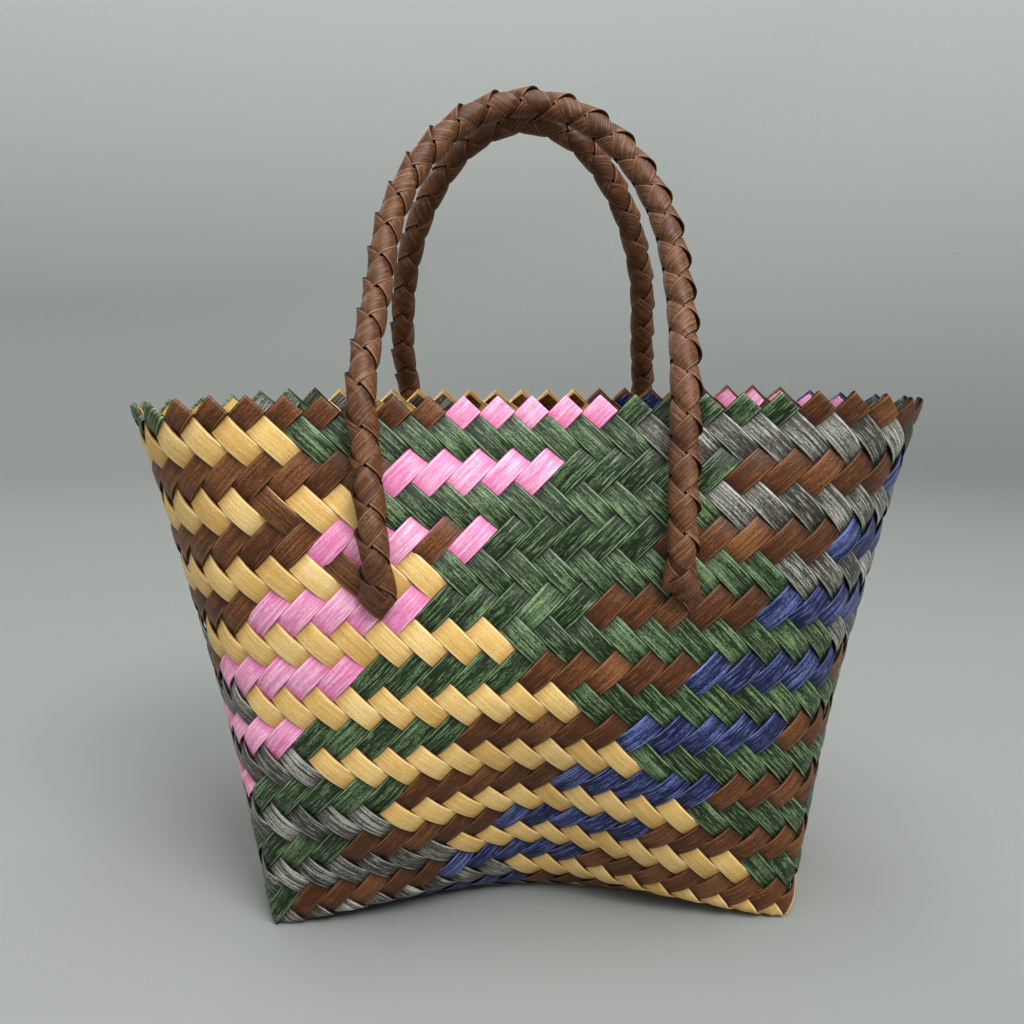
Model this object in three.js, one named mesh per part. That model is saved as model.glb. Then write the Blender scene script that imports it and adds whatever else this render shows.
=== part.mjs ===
// A woven handbag: one hollow plaited body with a zigzag rim, and two braided handles.
// Millimetres, +Z up, front towards -Y, standing on its base with z = 0 under it.
import * as THREE from 'three';

// The plaited net: flat strips run at 45 degrees, counted in pitches round the wall.
const BASE_LONG_PITCHES = 18;
const BASE_SHORT_PITCHES = 10;
const ROUND_PITCHES = 2 * (BASE_LONG_PITCHES + BASE_SHORT_PITCHES);
const TOOTH_TOP_ROW = -1;
const TOOTH_VALLEY_ROW = 0;
const BASE_EDGE_ROW = 33;
const WALL_THICKNESS = 2;

// Where the middle of the wall runs. Each station is so many pitches from the middle of the front,
// each row so many half rows of weave below the rim. Points are x, y, z; the rest is mirrored.
const STATION_PITCHES = [0, 5, 9, 11.5, 14];
const CORNER_STATION = 2;
const WALL_ROWS = [
  { row: -1, front_middle: [0, -43.5, 166], front_quarter: [50, -49, 166.5], corner: [91, -53, 167],
    end_quarter: [115, -40, 164.5], end_middle: [128.5, 0, 164] },
  { row: 8, front_middle: [0, -53.5, 123.5], front_quarter: [49, -57.5, 123.5], corner: [90.5, -48.5, 121],
    end_quarter: [110, -26.5, 119.5], end_middle: [114.5, 0, 122] },
  { row: 17, front_middle: [0, -60, 81], front_quarter: [48, -59, 79.5], corner: [87.5, -43, 75.5],
    end_quarter: [100.5, -24, 75.5], end_middle: [107, 0, 77] },
  { row: 25, front_middle: [0, -46, 45.5], front_quarter: [46, -55.5, 43], corner: [84.5, -42.5, 37.5],
    end_quarter: [94.5, -21.5, 40], end_middle: [99, 0, 38] },
  { row: 33, front_middle: [0, -31, 15], front_quarter: [44.5, -40, 7.5], corner: [81, -41, 0],
    end_quarter: [87, -21, 0], end_middle: [90.5, 0, 0] },
];
const STATION_NAMES = ['front_middle', 'front_quarter', 'corner', 'end_quarter', 'end_middle'];
const EDGE_SHARPENS_FROM_ROW = 6;
const EDGE_SHARPNESS = 0.55;
const BASE_FLAT_SHARE = 0.55;
const BASE_TURN_UP_POWER = 1.35;
const WALL_BANDS = 12;

// The handles: round braided rods whose flattened, pointed feet lie on the outside of the wall.
// A leg runs from so many pitches off the middle at the rim to so many at its foot.
const HANDLE_RADIUS = 4.25;
const FOOT_ROW = 12.1;
const FOOT_FLATTENS_FROM_ROW = 8.2;
const FOOT_LENGTH = 20;
const FOOT_POINT_LENGTH = 6;
const FOOT_HALF_WIDTH = 5.2;
const FOOT_HALF_THICKNESS = 0.8;
const FOOT_TIP_HALF_WIDTH = 0.6;
const HANDLES = [
  { name: 'handle_front', front: true, left_rim: -4.84, left_foot: -4.36, right_rim: 4.42, right_foot: 4.2,
    half_span: 44.5, spring_height: 199.5, top: 259 },
  { name: 'handle_back', front: false, left_rim: -4.52, left_foot: -4.5, right_rim: 4.78, right_foot: 4.6,
    half_span: 45.3, spring_height: 182, top: 256 },
];
const HANDLE_TOP_SETBACK = 4.65;
const HANDLE_LEAN_POWER = 0.86;
const HANDLE_SIDES = 10;
const HANDLE_RING_STEP = 5;
const PIECE_GAP = 0.35;

const QUARTER = ROUND_PITCHES / 4;
const HALF_LONG = BASE_LONG_PITCHES / 2;
const HALF_SHORT = BASE_SHORT_PITCHES / 2;
const CORNER_COLUMN = HALF_LONG;

function hermite(start, leave, end, arrive, share) {
  const a = share * share;
  const b = a * share;
  const out = new THREE.Vector3();
  out.addScaledVector(start, 2 * b - 3 * a + 1);
  out.addScaledVector(leave, b - 2 * a + share);
  out.addScaledVector(end, 3 * a - 2 * b);
  out.addScaledVector(arrive, b - a);
  return out;
}

function slope(a, b, span) {
  return b.clone().sub(a).divideScalar(span);
}

function spanIndex(knots, at) {
  let index = 0;
  while (index < knots.length - 2 && at > knots[index + 1]) index += 1;
  return index;
}

// The point of one station at a row, by a smooth curve through the table.
function stationPoint(name, row) {
  const knots = WALL_ROWS.map((entry) => entry.row);
  const points = WALL_ROWS.map((entry) => new THREE.Vector3(...entry[name]));
  const last = knots.length - 1;
  const tangents = points.map((point, i) => {
    const before = Math.max(i - 1, 0);
    const after = Math.min(i + 1, last);
    return slope(points[before], points[after], knots[after] - knots[before]);
  });
  const i = spanIndex(knots, row);
  const span = knots[i + 1] - knots[i];
  const leave = tangents[i].clone().multiplyScalar(span);
  const arrive = tangents[i + 1].clone().multiplyScalar(span);
  return hermite(points[i], leave, points[i + 1], arrive, (row - knots[i]) / span);
}

function smoothstep(low, high, at) {
  const share = THREE.MathUtils.clamp((at - low) / (high - low), 0, 1);
  return share * share * (3 - 2 * share);
}

// One quarter of the wall's middle surface: column 0 is the front middle, column 14 the end middle.
function quarterPoint(column, row) {
  const points = STATION_NAMES.map((name) => stationPoint(name, row));
  const knots = STATION_PITCHES;
  const last = knots.length - 1;
  const sides = points.map((point, i) => {
    if (i === 0) {
      const along = new THREE.Vector3(points[1].x / knots[1], 0, 0);
      return [along, along];
    }
    if (i === last) {
      const along = new THREE.Vector3(0, -points[last - 1].y / (knots[last] - knots[last - 1]), 0);
      return [along, along];
    }
    const mean = slope(points[i - 1], points[i + 1], knots[i + 1] - knots[i - 1]);
    if (i !== CORNER_STATION) return [mean, mean];
    const sharp = EDGE_SHARPNESS * smoothstep(EDGE_SHARPENS_FROM_ROW, BASE_EDGE_ROW, row);
    const before = slope(points[i - 1], point, knots[i] - knots[i - 1]);
    const after = slope(point, points[i + 1], knots[i + 1] - knots[i]);
    return [mean.clone().lerp(before, sharp), mean.clone().lerp(after, sharp)];
  });
  const i = spanIndex(knots, column);
  const span = knots[i + 1] - knots[i];
  const leave = sides[i][1].clone().multiplyScalar(span);
  const arrive = sides[i + 1][0].clone().multiplyScalar(span);
  return hermite(points[i], leave, points[i + 1], arrive, (column - knots[i]) / span);
}

// The whole wall: columns run from the front middle to the right, once round.
function wallPoint(column, row) {
  const round = THREE.MathUtils.euclideanModulo(column + 2 * QUARTER, ROUND_PITCHES) - 2 * QUARTER;
  const side = round < 0 ? -1 : 1;
  const reach = Math.abs(round);
  const back = reach > QUARTER;
  const point = quarterPoint(back ? 2 * QUARTER - reach : reach, row);
  point.x *= side;
  if (back) point.y *= -1;
  point.z += WALL_THICKNESS / 2;
  return point;
}

// The base: pitches right of and behind its middle, curving up to meet the wall's lower edge.
function basePoint(right, behind) {
  const share = Math.abs(behind) / HALF_SHORT;
  const edge = quarterPoint(Math.abs(right), BASE_EDGE_ROW);
  const corner = quarterPoint(CORNER_COLUMN, BASE_EDGE_ROW);
  const end = quarterPoint(CORNER_COLUMN + HALF_SHORT * (1 - share), BASE_EDGE_ROW);
  const rise = Math.max(0, (share - BASE_FLAT_SHARE) / (1 - BASE_FLAT_SHARE));
  const point = new THREE.Vector3();
  point.x = Math.sign(right) * edge.x * end.x / corner.x;
  point.y = -Math.sign(behind) * edge.y * end.y / corner.y;
  point.z = edge.z * rise ** BASE_TURN_UP_POWER + WALL_THICKNESS / 2;
  return point;
}

const STEP = 0.02;

function wallNormal(column, row) {
  const low = Math.max(row - STEP, TOOTH_TOP_ROW);
  const high = Math.min(row + STEP, BASE_EDGE_ROW);
  const along = wallPoint(column + STEP, row).sub(wallPoint(column - STEP, row));
  const up = wallPoint(column, low).sub(wallPoint(column, high));
  return along.cross(up).normalize();
}

function baseNormal(right, behind) {
  const x = THREE.MathUtils.clamp(right, -HALF_LONG + STEP, HALF_LONG - STEP);
  const y = THREE.MathUtils.clamp(behind, -HALF_SHORT + STEP, HALF_SHORT - STEP);
  const along = basePoint(x + STEP, y).sub(basePoint(x - STEP, y));
  const across = basePoint(x, y + STEP).sub(basePoint(x, y - STEP));
  return across.cross(along).normalize();
}

// Lower edge column of the wall that meets a place on the rim of the base.
function edgeColumn(right, behind) {
  if (behind === -HALF_SHORT) return right;
  if (right === HALF_LONG) return HALF_LONG + HALF_SHORT + behind;
  if (behind === HALF_SHORT) return 2 * QUARTER - right;
  return -(HALF_LONG + HALF_SHORT + behind);
}

function bodyGeometry() {
  const positions = [];
  const faces = [];
  const columns = ROUND_PITCHES * 2;
  const put = (point) => positions.push(point.x, point.y, point.z) / 3 - 1;
  const sheets = [WALL_THICKNESS / 2, -WALL_THICKNESS / 2].map((offset) => {
    const wall = [];
    for (let c = 0; c < columns; c += 1) {
      const column = c / 2;
      const top = c % 2 === 0 ? TOOTH_TOP_ROW : TOOTH_VALLEY_ROW;
      const line = [];
      for (let b = 0; b < WALL_BANDS; b += 1) {
        const row = top + (BASE_EDGE_ROW - top) * b / WALL_BANDS;
        const point = wallPoint(column, row).addScaledVector(wallNormal(column, row), offset);
        line.push(put(point));
      }
      wall.push(line);
    }
    const grid = [];
    for (let x = 0; x <= BASE_LONG_PITCHES * 2; x += 1) {
      const line = [];
      for (let y = 0; y <= BASE_SHORT_PITCHES * 2; y += 1) {
        const right = x / 2 - HALF_LONG;
        const behind = y / 2 - HALF_SHORT;
        const normal = baseNormal(right, behind);
        const atEdge = Math.abs(right) === HALF_LONG || Math.abs(behind) === HALF_SHORT;
        if (atEdge) normal.add(wallNormal(edgeColumn(right, behind), BASE_EDGE_ROW)).normalize();
        const index = put(basePoint(right, behind).addScaledVector(normal, offset));
        line.push(index);
        if (atEdge) {
          const column = THREE.MathUtils.euclideanModulo(edgeColumn(right, behind), ROUND_PITCHES);
          wall[Math.round(column * 2)][WALL_BANDS] = index;
        }
      }
      grid.push(line);
    }
    return { wall, grid };
  });
  const quad = (a, b, c, d, outer) => {
    if (outer) faces.push(a, b, c, a, c, d);
    else faces.push(a, c, b, a, d, c);
  };
  sheets.forEach(({ wall, grid }, side) => {
    const outer = side === 0;
    for (let c = 0; c < columns; c += 1) {
      const next = wall[(c + 1) % columns];
      for (let b = 0; b < WALL_BANDS; b += 1) {
        quad(wall[c][b], wall[c][b + 1], next[b + 1], next[b], outer);
      }
    }
    for (let x = 0; x + 1 < grid.length; x += 1) {
      for (let y = 0; y + 1 < grid[x].length; y += 1) {
        quad(grid[x][y], grid[x][y + 1], grid[x + 1][y + 1], grid[x + 1][y], outer);
      }
    }
  });
  for (let c = 0; c < columns; c += 1) {
    const next = (c + 1) % columns;
    const [out, inside] = sheets;
    quad(out.wall[c][0], out.wall[next][0], inside.wall[next][0], inside.wall[c][0], true);
  }
  const geometry = new THREE.BufferGeometry();
  geometry.setAttribute('position', new THREE.Float32BufferAttribute(positions, 3));
  geometry.setIndex(faces);
  geometry.computeVertexNormals();
  return geometry;
}

// Middle line of one handle: up the wall from the left foot, over the arch, down to the right foot.
function handleCurve(handle) {
  const side = handle.front ? 1 : -1;
  const leg = (rim, foot, row, radius) => {
    const share = (row - TOOTH_TOP_ROW) / (FOOT_ROW - TOOTH_TOP_ROW);
    const column = rim + (foot - rim) * share;
    const reach = WALL_THICKNESS / 2 + PIECE_GAP + radius;
    const point = wallPoint(column, row).addScaledVector(wallNormal(column, row), reach);
    point.y *= side;
    return point;
  };
  const climb = (rim, foot) => {
    const points = [leg(rim, foot, FOOT_ROW, FOOT_HALF_THICKNESS + 0.3)];
    [FOOT_FLATTENS_FROM_ROW, 5, 2, TOOTH_TOP_ROW].forEach((row) => {
      points.push(leg(rim, foot, row, HANDLE_RADIUS + 0.3));
    });
    const start = points[points.length - 1];
    const way = Math.sign(rim);
    [0, 0.25, 0.5, 0.75].forEach((share) => {
      const turn = share * Math.PI / 2;
      const height = handle.spring_height + (handle.top - handle.spring_height) * Math.sin(turn);
      const lean = ((height - start.z) / (handle.top - start.z)) ** HANDLE_LEAN_POWER;
      const depth = start.y + (-side * HANDLE_TOP_SETBACK - start.y) * lean;
      points.push(new THREE.Vector3(way * handle.half_span * Math.cos(turn), depth, height));
    });
    return points;
  };
  const left = climb(handle.left_rim, handle.left_foot);
  const right = climb(handle.right_rim, handle.right_foot).reverse();
  const crown = new THREE.Vector3(0, -side * HANDLE_TOP_SETBACK, handle.top);
  return new THREE.CatmullRomCurve3([...left, crown, ...right], false, 'centripetal');
}

// Ring places along the handle, closer together where the feet come to a point.
function ringPlaces(length) {
  const foot = [0, 1.5, 3, 4.5, 6, 9, 12, 15];
  const spans = Math.round((length - 36) / HANDLE_RING_STEP);
  const places = [...foot];
  for (let i = 0; i <= spans; i += 1) places.push(18 + (length - 36) * i / spans);
  foot.slice().reverse().forEach((place) => places.push(length - place));
  return places;
}

function handleGeometry(handle) {
  const curve = handleCurve(handle);
  curve.arcLengthDivisions = 1000;
  const length = curve.getLength();
  const places = ringPlaces(length);
  const positions = [];
  const faces = [];
  const depth = new THREE.Vector3(0, 1, 0);
  places.forEach((place) => {
    const middle = curve.getPointAt(place / length);
    const along = curve.getTangentAt(place / length);
    const fromTip = Math.min(place, length - place);
    const flare = smoothstep(FOOT_POINT_LENGTH, FOOT_LENGTH, fromTip);
    const full = FOOT_HALF_WIDTH + (HANDLE_RADIUS - FOOT_HALF_WIDTH) * flare;
    const taper = Math.min(1, fromTip / FOOT_POINT_LENGTH);
    const wide = FOOT_TIP_HALF_WIDTH + (full - FOOT_TIP_HALF_WIDTH) * taper;
    const thin = smoothstep(0, FOOT_LENGTH, fromTip);
    const deep = FOOT_HALF_THICKNESS + (HANDLE_RADIUS - FOOT_HALF_THICKNESS) * thin;
    const across = along.clone().cross(depth).normalize();
    const outward = across.clone().cross(along).normalize();
    for (let s = 0; s < HANDLE_SIDES; s += 1) {
      const turn = 2 * Math.PI * s / HANDLE_SIDES;
      const point = middle.clone();
      point.addScaledVector(across, wide * Math.cos(turn));
      point.addScaledVector(outward, deep * Math.sin(turn));
      positions.push(point.x, point.y, point.z);
    }
  });
  const first = positions.length / 3;
  const start = curve.getPointAt(0);
  const end = curve.getPointAt(1);
  positions.push(start.x, start.y, start.z, end.x, end.y, end.z);
  for (let s = 0; s < HANDLE_SIDES; s += 1) {
    const next = (s + 1) % HANDLE_SIDES;
    for (let r = 0; r + 1 < places.length; r += 1) {
      const a = r * HANDLE_SIDES;
      const b = a + HANDLE_SIDES;
      faces.push(a + s, b + next, a + next, a + s, b + s, b + next);
    }
    const last = (places.length - 1) * HANDLE_SIDES;
    faces.push(first, s, next, first + 1, last + next, last + s);
  }
  const geometry = new THREE.BufferGeometry();
  geometry.setAttribute('position', new THREE.Float32BufferAttribute(positions, 3));
  geometry.setIndex(faces);
  geometry.computeVertexNormals();
  return geometry;
}

function piece(name, geometry, color) {
  const material = new THREE.MeshStandardMaterial({ color, roughness: 0.5, metalness: 0 });
  material.name = name;
  const mesh = new THREE.Mesh(geometry, material);
  mesh.name = name;
  return mesh;
}

const group = new THREE.Group();
group.name = 'woven_handbag';
group.add(piece('woven_body', bodyGeometry(), 0x5a6b4a));
HANDLES.forEach((handle) => group.add(piece(handle.name, handleGeometry(handle), 0x5b3824)));

export default group;
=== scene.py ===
"""Woven handbag: real strips plaited over and under on the bag's form, with braided handles."""
import math
from collections import namedtuple

import bpy
import numpy as np
from mathutils import Matrix, Vector


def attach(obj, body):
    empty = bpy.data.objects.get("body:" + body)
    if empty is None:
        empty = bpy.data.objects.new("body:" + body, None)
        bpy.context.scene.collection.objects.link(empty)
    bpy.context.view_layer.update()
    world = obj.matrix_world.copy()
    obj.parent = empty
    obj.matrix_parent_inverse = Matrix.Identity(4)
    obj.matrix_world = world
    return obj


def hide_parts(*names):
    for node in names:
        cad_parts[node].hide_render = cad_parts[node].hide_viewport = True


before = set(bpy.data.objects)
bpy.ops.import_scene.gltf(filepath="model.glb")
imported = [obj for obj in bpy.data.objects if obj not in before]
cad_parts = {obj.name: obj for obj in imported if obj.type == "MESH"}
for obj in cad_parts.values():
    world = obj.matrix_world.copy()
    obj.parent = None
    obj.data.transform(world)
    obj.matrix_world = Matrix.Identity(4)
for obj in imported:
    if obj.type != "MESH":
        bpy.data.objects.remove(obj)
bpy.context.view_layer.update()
MM = 0.001

# Camera, fitted to the perspective of the weave: millimetres, degrees, and pixels of the square frame.
CAMERA_PLACE = (-8.7, -326.3, 175.3)
CAMERA_PITCH = 8.48
CAMERA_YAW = 0.64
CAMERA_ROLL = 0.41
CAMERA_FOCAL_PIXELS = 960.0
FRAME_PIXELS = 1024.0
SENSOR_WIDTH = 36.0
CLIP_START = 10.0

# The plaited net, as in the solids: strips at 45 degrees, counted in pitches round the wall and in half
# rows down it. Places and sizes are millimetres.
HALF_LONG = 9.0
HALF_SHORT = 5.0
QUARTER = HALF_LONG + HALF_SHORT
RIM_ROW = -1.0
BASE_EDGE_ROW = 33.0
WALL_THICKNESS = 2.0
EDGE_SHARPENS_FROM_ROW = 6.0
EDGE_SHARPNESS = 0.55
BASE_FLAT_SHARE = 0.55
BASE_TURN_UP_POWER = 1.35
NORMAL_STEP = 0.02
STATION_PITCHES = np.array([0.0, 5.0, 9.0, 11.5, 14.0])
CORNER_STATION = 2
NET_ROWS = np.array([RIM_ROW, 8.0, 17.0, 25.0, BASE_EDGE_ROW])
# One line per row: front middle, front quarter, corner, end quarter, end middle.
NET_POINTS = np.array([
    [(0, -43.5, 166), (50, -49, 166.5), (91, -53, 167), (115, -40, 164.5), (128.5, 0, 164)],
    [(0, -53.5, 123.5), (49, -57.5, 123.5), (90.5, -48.5, 121), (110, -26.5, 119.5), (114.5, 0, 122)],
    [(0, -60, 81), (48, -59, 79.5), (87.5, -43, 75.5), (100.5, -24, 75.5), (107, 0, 77)],
    [(0, -46, 45.5), (46, -55.5, 43), (84.5, -42.5, 37.5), (94.5, -21.5, 40), (99, 0, 38)],
    [(0, -31, 15), (44.5, -40, 7.5), (81, -41, 0), (87, -21, 0), (90.5, 0, 0)],
], dtype=float)

# Strips: the order of their colours across the base, and the cells from the middle of the base to the rim,
# by way of a long or a short edge, before a strip's own offset is counted in.
RIGHTWARD_ORDER = (("straw", 10), ("grey", 8), ("green", 5), ("pink", 5))
LEFTWARD_ORDER = (("brown", 5), ("blue", 5), ("brown", 8), ("green", 10))
LEFTWARD_NUMBERS_FROM = 60
OUTERMOST_STRIP = QUARTER - 0.5
RIM_BY_LONG_EDGE = BASE_EDGE_ROW + 2.0 * HALF_SHORT + 0.5
RIM_BY_SHORT_EDGE = BASE_EDGE_ROW + 2.0 * HALF_LONG + 0.5

# A strip's section and its waves over and under the others.
CELL = 7.0
STRIP_WIDTH_SHARE = 0.995
STRIP_THICKNESS = 0.45
STRIP_CROWN = 0.1
CROWN_MEAN = 0.4
SAMPLES_PER_CELL = 4
FLOAT_RISE = 0.92
LONGEST_FLOAT_RISE = 1.1
CORNER_RISE = 0.35
CORNER_TURN_PITCH = HALF_LONG + 1.0
CORNER_TURN_SPREAD = 2.4
# Edge loops across a strip, and how far each drops to round its edges off.
ACROSS_PLACES = np.array([-0.5, -0.46, -0.40, 0.0, 0.40, 0.46, 0.5])
ACROSS_DROPS = np.array([0.17, 0.05, 0.0, 0.0, 0.0, 0.05, 0.17])

# Strip ends at the rim: the lift in millimetres, lengths in cells, widths as shares.
FOLD_INNER_LIFT = -0.1
FOLD_STEPS = 6
FOLD_FLAP_CELLS = 0.8
FLAP_WIDTH_SHARE = 0.94
TUCK_STOPS_SHORT = 0.15
TUCK_NARROWS = 0.16
TUCK_LENGTH = 0.8

# Handles: a leg runs from so many pitches off the middle at the rim to so many at its foot.
HANDLE_RADIUS = 4.25
FOOT_ROW = 12.1
FOOT_FLATTENS_FROM_ROW = 8.2
LEG_ROWS = (FOOT_FLATTENS_FROM_ROW, 5.0, 2.0, RIM_ROW)
FOOT_LENGTH = 20.0
FOOT_POINT_LENGTH = 6.0
FOOT_HALF_WIDTH = 5.2
FOOT_HALF_THICKNESS = 0.8
FOOT_TIP_HALF_WIDTH = 0.6
HANDLES = {
    # name: left rim, left foot, right rim, right foot, half span, spring height, top
    "handle_front": (-4.84, -4.36, 4.42, 4.2, 44.5, 199.5, 259.0),
    "handle_back": (-4.52, -4.5, 4.78, 4.6, 45.3, 182.0, 256.0),
}
HANDLE_TOP_SETBACK = 4.65
HANDLE_LEAN_POWER = 0.86
ARCH_SHARES = (0.0, 0.25, 0.5, 0.75)
PIECE_GAP = 0.35
BRAID_STANDS_OFF = 0.3
PATH_POINTS = 700
CURVE_STEPS = 40

# Strand ends plaited on from the front left foot: strip's offset, from and to along it, number.
HANDLE_TAILS = ((11.5, -27.2, -20.3, 93), (-10.5, -34.1, -29.6, 94))
TAIL_LIFT = 0.3
TAIL_WIDTH_SHARE = 0.93

# Flat strips at the feet. Each corner: pitches right of the foot, rows below it, lift; the first two are
# where the strip starts, the next two where it ends. Then the bulge along each of its edges.
LEFT_WRAP = ((-0.42, -2.88, 3.6), (-0.74, -1.53, 2.0), (0.35, -1.16, 1.6), (-0.1, -0.06, 1.0), 5.2, 2.4)
RIGHT_WRAP = ((0.24, -3.11, 7.0), (0.63, -2.14, 3.2), (-0.39, -2.03, 3.0), (0.12, -0.9, 1.6), 5.5, 4.4)
RIGHT_TONGUE = ((0.09, -1.05, 4.6), (0.51, -1.98, 4.8), (0.4, -0.27, 0.9), (0.8, -1.09, 0.9), 0.2, 0.2)
WRAP_LOOPS_ACROSS = 8
WRAP_LOOPS_ALONG = 14
WRAP_BULGE_POWER = 2.4
WRAP_EDGE_DROP = 0.16
WRAP_EDGE_POWER = 6
WRAP_END_POWER = 8
WRAP_CELLS = 1.6

# The braid: four flat strands, two wound each way, each over one and under one. A strand has the way it
# is wound and its turn at the start.
BRAID_STRANDS = ((1, 0.0), (1, math.pi), (-1, 0.0), (-1, math.pi))
BRAID_NUMBERS_FROM = {"handle_front": 30, "handle_back": 40}
BRAID_LEAD = 22.2
BRAID_STRIP_WIDTH = 7.25
BRAID_THICKNESS = 0.45
BRAID_INNER = 3.1
BRAID_OUTER = 4.0
BRAID_MEAN = (BRAID_INNER + BRAID_OUTER) / 2
BRAID_CROSSING_STEEPNESS = 2.6
BRAID_DOME = 0.28
BRAID_DOME_MEAN = 0.3
BRAID_DOME_POWER = 2.5
BRAID_STOPS_SHORT_LEFT = 4.5
BRAID_STOPS_SHORT_RIGHT = 8.5
BRAID_TOP_TURN = math.radians(-80.0)
BRAID_LOOPS_ACROSS = 6
BRAID_STEP = 0.75
BRAID_DIRECTION_STEP = 0.6
# Its open loops: how far they stand off, where round the handle, and where they fade towards the feet.
LOOP_LIFT = 1.25
LOOP_LIFT_POWER = 1.5
LOOP_TURN = math.radians(-22.0)
LOOP_SPREAD_POWER = 4
LOOPS_FADE_FROM = 16.0
LOOPS_FADE_TO = 6.0
CORE_RADIUS = 2.6
CORE_LOOPS_ROUND = 12
CORE_LOOPS_ALONG = 160
CORE_TIP_SHARE = 0.012
CORE_CHART_START = 200.0
CORE_SEAM = 0.01

# Each strip has its own field on the chart that the streaks are drawn by.
CHART_NAME = "strip"
# The bow sets painted shade: a strip is darkened where it dives under its crossings.
BOW_NAME = "bow"
FIELD_ACROSS = 3.0
FIELD_ALONG = 7.31
BRAID_FIELD_ALONG = 5.3
SMOOTH_ANGLE = math.radians(40)

Station = namedtuple("Station", "place lift bow width")


def smoothstep(low, high, at):
    share = np.clip((at - low) / (high - low), 0.0, 1.0)
    return share * share * (3.0 - 2.0 * share)


def unit(vectors):
    return vectors / np.maximum(np.linalg.norm(vectors, axis=1, keepdims=True), 1e-9)


# The form of the bag.

def hermite(start, leave, end, arrive, share):
    square = share * share
    cube = square * share
    from_start = start * (2 * cube - 3 * square + 1) + leave * (cube - 2 * square + share)
    return from_start + end * (3 * square - 2 * cube) + arrive * (cube - square)


def station_points(row):
    """The five stations of the net at each row, by a smooth curve down each."""
    last = len(NET_ROWS) - 1
    slopes = np.empty_like(NET_POINTS)
    for i in range(last + 1):
        before = max(i - 1, 0)
        after = min(i + 1, last)
        slopes[i] = (NET_POINTS[after] - NET_POINTS[before]) / (NET_ROWS[after] - NET_ROWS[before])
    i = np.clip(np.searchsorted(NET_ROWS, row, side="left") - 1, 0, last - 1)
    span = (NET_ROWS[i + 1] - NET_ROWS[i])[:, None, None]
    share = (row - NET_ROWS[i])[:, None, None] / span
    return hermite(NET_POINTS[i], slopes[i] * span, NET_POINTS[i + 1], slopes[i + 1] * span, share)


def quarter_points(column, row):
    """One quarter of the wall's middle surface, from the front middle to the end middle."""
    points = station_points(row)
    knots = STATION_PITCHES
    last = len(knots) - 1
    arrive = np.zeros_like(points)
    leave = np.zeros_like(points)
    leave[:, 0, 0] = points[:, 1, 0] / knots[1]
    arrive[:, last, 1] = -points[:, last - 1, 1] / (knots[last] - knots[last - 1])
    sharp = EDGE_SHARPNESS * smoothstep(EDGE_SHARPENS_FROM_ROW, BASE_EDGE_ROW, row)[:, None]
    for i in range(1, last):
        mean = (points[:, i + 1] - points[:, i - 1]) / (knots[i + 1] - knots[i - 1])
        arrive[:, i] = mean
        leave[:, i] = mean
        if i == CORNER_STATION:
            before = (points[:, i] - points[:, i - 1]) / (knots[i] - knots[i - 1])
            after = (points[:, i + 1] - points[:, i]) / (knots[i + 1] - knots[i])
            arrive[:, i] = mean + (before - mean) * sharp
            leave[:, i] = mean + (after - mean) * sharp
    i = np.clip(np.searchsorted(knots, column, side="left") - 1, 0, last - 1)
    pick = np.arange(len(column))
    span = (knots[i + 1] - knots[i])[:, None]
    share = (column - knots[i])[:, None] / span
    leaving = leave[pick, i] * span
    arriving = arrive[pick, i + 1] * span
    return hermite(points[pick, i], leaving, points[pick, i + 1], arriving, share)


def wall_points(column, row):
    """The whole wall: columns run from the front middle to the right, once round."""
    turn = 4.0 * QUARTER
    around = np.mod(column + 2.0 * QUARTER, turn) - 2.0 * QUARTER
    reach = np.abs(around)
    back = reach > QUARTER
    points = quarter_points(np.where(back, 2.0 * QUARTER - reach, reach), row)
    points[:, 0] *= np.where(around < 0, -1.0, 1.0)
    points[:, 1] *= np.where(back, -1.0, 1.0)
    points[:, 2] += WALL_THICKNESS / 2
    return points


def base_points(right, behind):
    """The base, curving up to meet the wall's lower edge."""
    share = np.abs(behind) / HALF_SHORT
    edge_row = np.full_like(right, BASE_EDGE_ROW)
    edge = quarter_points(np.abs(right), edge_row)
    corner = quarter_points(np.full_like(right, HALF_LONG), edge_row)
    end = quarter_points(HALF_LONG + HALF_SHORT * (1.0 - share), edge_row)
    rise = np.maximum(0.0, (share - BASE_FLAT_SHARE) / (1.0 - BASE_FLAT_SHARE))
    x = np.sign(right) * edge[:, 0] * end[:, 0] / corner[:, 0]
    y = -np.sign(behind) * edge[:, 1] * end[:, 1] / corner[:, 1]
    return np.stack([x, y, edge[:, 2] * rise ** BASE_TURN_UP_POWER + WALL_THICKNESS / 2], axis=1)


def wall_place(column, row, lift):
    """Places off the wall, lifted outwards from its middle surface."""
    along = wall_points(column + NORMAL_STEP, row) - wall_points(column - NORMAL_STEP, row)
    low = np.minimum(row + NORMAL_STEP, BASE_EDGE_ROW)
    up = wall_points(column, row - NORMAL_STEP) - wall_points(column, low)
    return wall_points(column, row) + unit(np.cross(along, up)) * lift[:, None]


def base_place(right, behind, lift):
    """Places off the base, lifted downwards from its middle surface."""
    x = np.clip(right, -HALF_LONG + NORMAL_STEP, HALF_LONG - NORMAL_STEP)
    y = np.clip(behind, -HALF_SHORT + NORMAL_STEP, HALF_SHORT - NORMAL_STEP)
    along = base_points(x + NORMAL_STEP, y) - base_points(x - NORMAL_STEP, y)
    across = base_points(x, y + NORMAL_STEP) - base_points(x, y - NORMAL_STEP)
    return base_points(right, behind) + unit(np.cross(across, along)) * lift[:, None]


# A strip is a straight run over the base that climbs the wall at both ends. Along and offset are in
# strip cells; rightward strips head right and back over the base, leftward ones left and back.

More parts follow.
